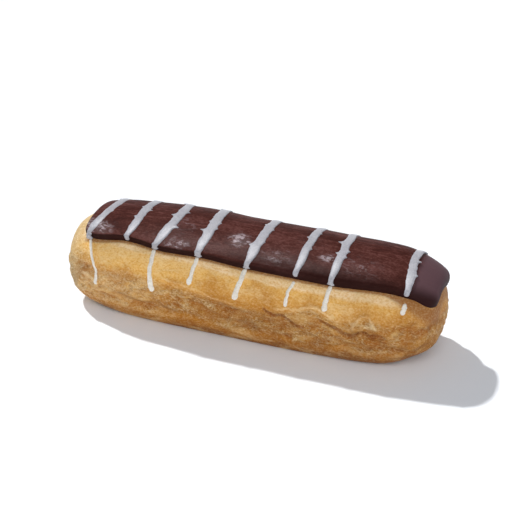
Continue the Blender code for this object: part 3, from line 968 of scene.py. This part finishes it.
def mottle(tree, group, patch, grain, stretch=1.0, twist=0.0):
    """The group's two outputs for these sizes."""
    made = tree.nodes.new("ShaderNodeGroup")
    made.node_tree = group
    for (name, _), value in zip(MOTTLE_INPUTS, (patch, grain, stretch, twist)):
        made.inputs[name].default_value = value
    return made.outputs["Patches"], made.outputs["Grain"]


def bump(tree, height, distance):
    """A normal from a height of 0 to 1, that stands for this distance."""
    made = tree.nodes.new("ShaderNodeBump")
    made.inputs["Strength"].default_value = 1.0
    made.inputs["Distance"].default_value = distance
    tree.links.new(height, made.inputs["Height"])
    return made.outputs["Normal"]


def wisp_lines(tree, group, kinds):
    """Thin winding lines of the torn skin, 1 on them and 0 between. Each kind is a size, stretch and width."""
    drawn = 0.0
    for size, stretch, width in kinds:
        winding, breaks = mottle(tree, group, size, grain=5 * MM, stretch=stretch, twist=1.4)
        away = maths(tree, "ABSOLUTE", maths(tree, "SUBTRACT", winding, 0.5))
        line = maths(tree, "SUBTRACT", 1.0, maths(tree, "MINIMUM", maths(tree, "DIVIDE", away, width), 1.0))
        broken = maths(tree, "MULTIPLY", line, ramp(tree, breaks, ((0.40, 0.0), (0.56, 0.85))))
        drawn = maths(tree, "MAXIMUM", drawn, broken)
    return drawn


def baked_colour(tree, height, along, patches, blotches):
    """The baked skin's colour: browner at the foot, in part painted shade, paler up the dome, palest below the
    icing.
    """
    lowered = ramp(tree, along, LOWERED_PLACES)
    uneven = maths(tree, "SUBTRACT", maths(tree, "MULTIPLY", patches, 0.6), lowered)
    # The colour by height, darker towards the foot, partly as painted shade
    colour = colour_ramp(tree, maths(tree, "ADD", height, uneven), CRUST_BY_HEIGHT)
    colour = tinted(tree, ramp(tree, blotches, ((0.52, 0.0), (0.66, 0.5))), colour, LIGHT_BLOTCH)
    # The pale band below the icing: painted light from above on the shoulder's paler dough
    return mixed(tree, attribute(tree, "pale"), colour, colour_ramp(tree, patches, CRUST_PALE_LIT))


def torn_colour(tree, colour, along, blotches, cracks, wisps):
    """The colour with the torn band's blotches, painted shade in cracks, wisps and changes along the bun laid
    over it.
    """
    torn_share = attribute(tree, "torn")
    blotched = maths(tree, "MULTIPLY", torn_share, 0.7)
    colour = mixed(tree, blotched, colour, colour_ramp(tree, blotches, CRUST_TORN))
    for share, tint in (
        (cracks, THIN_CRACK_SHADE),
        (ramp(tree, along, BROWN_TEAR_PLACES), TORN_BROWN),
        (ramp(tree, along, PALE_TEAR_PLACES), TORN_PALE),
        (wisps, WISP),
    ):
        colour = tinted(tree, maths(tree, "MULTIPLY", torn_share, share), colour, tint)
    return colour


def relief_colour(tree, colour, blotches):
    """The colour with painted shade in hollows and cracks and painted light on raised folds and ridges."""
    # Painted shade in hollows and painted light on raised folds, by the folds' height
    fold_shade_level = maths(tree, "MULTIPLY_ADD", attribute(tree, "shaded_fold"), 0.5, 0.5)
    colour = mixed(tree, 1.0, colour, colour_ramp(tree, fold_shade_level, CRUST_HOLLOW_SHADE), "MULTIPLY")
    colour = tinted(tree, ramp(tree, fold_shade_level, ((0.60, 0.0), (0.82, 0.35))), colour, LIT_RAISED_FOLD)
    # Painted light on the front's ridges and painted shade in its creases, from the crease heights
    line = attribute(tree, "line")
    broken = ramp(tree, blotches, ((0.42, 0.25), (0.56, 1.0)))
    lit = maths(tree, "MULTIPLY", ramp(tree, line, ((0.12, 0.0), (0.45, 0.6))), broken)
    shaded_crease = ramp(tree, maths(tree, "MULTIPLY", line, -1.0), ((0.06, 0.0), (0.32, 0.85)))
    return tinted(tree, shaded_crease, tinted(tree, lit, colour, LIT_RIDGE), DEEP_CRACK_SHADE)


def grained_colour(tree, colour, along, fine, grains):
    """The colour with its dapples and speckles, its brown right end, its dull and flaky left end, and painted
    shade under the rim.
    """
    colour = tinted(tree, ramp(tree, along, BROWN_END_PLACES), colour, BROWN_END)
    colour = mixed(tree, 1.0, colour, colour_ramp(tree, fine, CRUST_DAPPLE), "MULTIPLY")
    colour = tinted(tree, ramp(tree, fine, ((0.54, 0.0), (0.66, 0.14))), colour, LIGHT_DAPPLE)
    colour = tinted(tree, ramp(tree, along, LEFT_WASH_PLACES), colour, LEFT_WASH)
    at_left = ramp(tree, along, LEFT_FLAKE_PLACES)
    flakes = maths(tree, "MULTIPLY", ramp(tree, fine, ((0.48, 0.0), (0.68, 1.0))), at_left)
    colour = tinted(tree, flakes, colour, LEFT_FLAKE)
    # Painted shade under the icing's rim
    colour = tinted(tree, maths(tree, "MULTIPLY", attribute(tree, "shade"), 0.9), colour, UNDER_RIM_SHADE)
    colour = mixed(tree, 1.0, colour, colour_ramp(tree, grains, CRUST_SPECKLE), "MULTIPLY")
    return tinted(tree, ramp(tree, grains, ((0.52, 0.0), (0.66, 0.20))), colour, WISP)


def crust_material(group):
    """Golden choux crust with painted light and shade: pale below the icing, wispy and orange in the torn
    band, browner at the foot.
    """
    made, tree, shader = new_material("golden_crust", roughness=0.62, specular=0.2)
    parts = object_place(tree)
    height = maths(tree, "DIVIDE", parts["Z"], COLOURED_HEIGHT)
    along = maths(tree, "MULTIPLY_ADD", parts["X"], 0.5 / HALF_LENGTH, 0.5)
    patches, grains = mottle(tree, group, 7 * MM, grain=0.5 * MM, stretch=1.4)
    blotches, fine = mottle(tree, group, 6.5 * MM, grain=0.9 * MM, stretch=1.7, twist=1.0)
    cracks = wisp_lines(tree, group, ((6.0 * MM, 1.6, 0.022),))
    wisps = wisp_lines(tree, group, ((4.5 * MM, 1.8, 0.020), (2.6 * MM, 2.4, 0.030)))
    colour = baked_colour(tree, height, along, patches, blotches)
    colour = torn_colour(tree, colour, along, blotches, cracks, wisps)
    colour = relief_colour(tree, colour, blotches)
    colour = grained_colour(tree, colour, along, fine, grains)
    tree.links.new(colour, shader.inputs["Base Color"])
    lines = maths(tree, "MULTIPLY_ADD", wisps, 1.6, maths(tree, "MULTIPLY", cracks, -1.6))
    rise = maths(tree, "MULTIPLY_ADD", lines, attribute(tree, "torn"), maths(tree, "ADD", grains, fine))
    tree.links.new(bump(tree, rise, CRUST_PITS), shader.inputs["Normal"])
    return made


def chocolate_material(group):
    """Set chocolate icing: fine streaks along it, crinkled patches that gleam with painted sheen and glints,
    and a matt right end with a painted reflection.
    """
    made, tree, shader = new_material("set_chocolate", roughness=0.55, specular=0.04)
    shader.inputs["Coat Roughness"].default_value = 0.13
    backwards = maths(tree, "MULTIPLY_ADD", object_place(tree)["Y"], 1 / (14 * MM), 0.7)
    streaked = ramp(tree, backwards, ((0.0, 0.15), (1.0, 0.6)))
    patches, streaks = mottle(tree, group, 7 * MM, grain=0.8 * MM, stretch=9.0, twist=0.3)
    clouds, crinkles = mottle(tree, group, 6 * MM, grain=1.0 * MM, stretch=1.5, twist=0.8)
    glints, grit = mottle(tree, group, 1.3 * MM, grain=0.42 * MM, stretch=2.2, twist=0.6)
    gleam = attribute(tree, "gleam")
    end = attribute(tree, "smooth_reflecting_end")
    calm = maths(tree, "MULTIPLY_ADD", end, -0.85, 1.0)
    gritty = maths(tree, "MULTIPLY", calm, 0.4)
    shade = 0.5
    patterns = ((streaks, streaked), (patches, 0.35), (clouds, 0.4), (crinkles, 0.25), (grit, gritty))
    for pattern, weight in patterns:
        shade = maths(tree, "MULTIPLY_ADD", maths(tree, "SUBTRACT", pattern, 0.5), weight, shade)
    colour = colour_ramp(tree, shade, ICING_BROWNS)
    # Painted sheen and glints in the colour where the icing gleams, beside its real glossy coat
    painted_sheen = maths(tree, "MINIMUM", maths(tree, "MULTIPLY", gleam, 0.28), 0.35)
    dense = maths(tree, "MULTIPLY_ADD", gleam, 0.035, glints)
    painted_glints = maths(tree, "MULTIPLY", ramp(tree, dense, ((0.55, 0.0), (0.63, 0.8))), gleam)
    for share, tint in (
        (painted_sheen, ICING_PAINTED_SHEEN),
        (maths(tree, "MINIMUM", painted_glints, 0.8), ICING_PAINTED_GLINT),
        # Painted reflection of the bright surround on the right end
        (maths(tree, "MULTIPLY", end, 0.85), ICING_END_REFLECTION),
        # Painted shade on the icing's rim and low front
        (maths(tree, "MULTIPLY", attribute(tree, "rim"), 0.9), ICING_RIM_SHADE),
    ):
        colour = tinted(tree, share, colour, tint)
    tree.links.new(colour, shader.inputs["Base Color"])
    shining = maths(tree, "MULTIPLY", maths(tree, "MULTIPLY", gleam, gleam), 0.45)
    shining = maths(tree, "MULTIPLY_ADD", calm, 0.02, shining)
    tree.links.new(shining, shader.inputs["Coat Weight"])
    crinkled = maths(tree, "MULTIPLY", crinkles, maths(tree, "MULTIPLY_ADD", gleam, 1.6, 0.25))
    lined = maths(tree, "MULTIPLY_ADD", streaks, streaked, crinkled)
    dented = bump(tree, maths(tree, "MULTIPLY", lined, calm), ICING_DENTS)
    tree.links.new(dented, shader.inputs["Normal"])
    tree.links.new(dented, shader.inputs["Coat Normal"])
    return made


def drizzle_material(name, group, colours, roughness):
    """White drizzle with a faint mottling and grain, in colours given with painted shade on the icing and
    bounce light on the crust.
    """
    made, tree, shader = new_material(name, roughness, specular=0.33)
    patches, grains = mottle(tree, group, 2.5 * MM, grain=0.45 * MM)
    shade = maths(tree, "MULTIPLY_ADD", grains, 0.6, maths(tree, "MULTIPLY", patches, 0.4))
    tree.links.new(colour_ramp(tree, shade, colours), shader.inputs["Base Color"])
    tree.links.new(bump(tree, grains, DRIZZLE_PITS), shader.inputs["Normal"])
    return made


def floor_material():
    """The pale floor, without any shine."""
    made, _, shader = new_material("pale_floor", roughness=0.9, specular=0.0)
    shader.inputs["Base Color"].default_value = FLOOR_COLOUR
    return made


# The studio


def add_light(name, kind, energy, direction, distance, size, kept_out_of):
    """A light that shines on the eclair from this direction."""
    towards = Vector(direction)
    lamp = bpy.data.lights.new(name, kind)
    lamp.energy = energy
    if kind == "SUN":
        lamp.angle = size
    else:
        lamp.size = size
    made = bpy.data.objects.new(name, lamp)
    made.location = LOOKED_AT + towards.normalized() * distance
    made.rotation_euler = (-towards).to_track_quat("-Z", "Y").to_euler()
    setattr(made, kept_out_of, False)
    bpy.context.scene.collection.objects.link(made)


def make_world():
    """A surround that is bright at the horizon and dim higher up."""
    world = bpy.data.worlds.new("surround")
    world.use_nodes = True
    tree = world.node_tree
    places = tree.nodes.new("ShaderNodeTexCoord")
    parts = tree.nodes.new("ShaderNodeSeparateXYZ")
    tree.links.new(places.outputs["Generated"], parts.inputs[0])
    tree.links.new(ramp(tree, parts.outputs["Z"], WORLD_STOPS), tree.nodes["Background"].inputs["Color"])
    bpy.context.scene.world = world


def make_studio():
    """A pale floor, a key light from behind on the left, a box overhead, a front fill and a surround."""
    bm = bmesh.new()
    bmesh.ops.create_grid(bm, x_segments=1, y_segments=1, size=FLOOR_REACH)
    mesh = bpy.data.meshes.new("floor")
    bm.to_mesh(mesh)
    bm.free()
    mesh.materials.append(floor_material())
    floor = bpy.data.objects.new("floor", mesh)
    bpy.context.scene.collection.objects.link(floor)
    for light in LIGHTS:
        add_light(*light)
    make_world()
    bpy.context.scene.view_settings.view_transform = "Standard"


def make_camera():
    """The camera at the photo's viewing angle."""
    lens = bpy.data.cameras.new("camera")
    lens.lens = LENS
    lens.shift_x, lens.shift_y = SHIFT
    lens.clip_start = NEAREST_SEEN
    level = math.cos(ELEVATION)
    back = Vector((math.sin(AZIMUTH) * level, -math.cos(AZIMUTH) * level, math.sin(ELEVATION)))
    camera = bpy.data.objects.new("camera", lens)
    camera.location = LOOKED_AT + back * DISTANCE
    camera.rotation_euler = (-back).to_track_quat("-Z", "Y").to_euler()
    bpy.context.scene.collection.objects.link(camera)
    bpy.context.scene.camera = camera


def main():
    noise.seed_set(NOISE_START)
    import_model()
    group = mottle_group()
    make_bun(crust_material(group))
    make_icing(chocolate_material(group))
    # The white drizzle in painted shade on the icing and in painted bounce light on the crust
    make_strands(drizzle_material("white_drizzle_painted_shade", group, DRIZZLE_SHADED_GREY, roughness=0.36))
    make_runs(drizzle_material("white_drizzle_painted_bounce", group, DRIZZLE_BOUNCE_LIT_CREAM, roughness=0.5))
    make_studio()
    make_camera()


main()
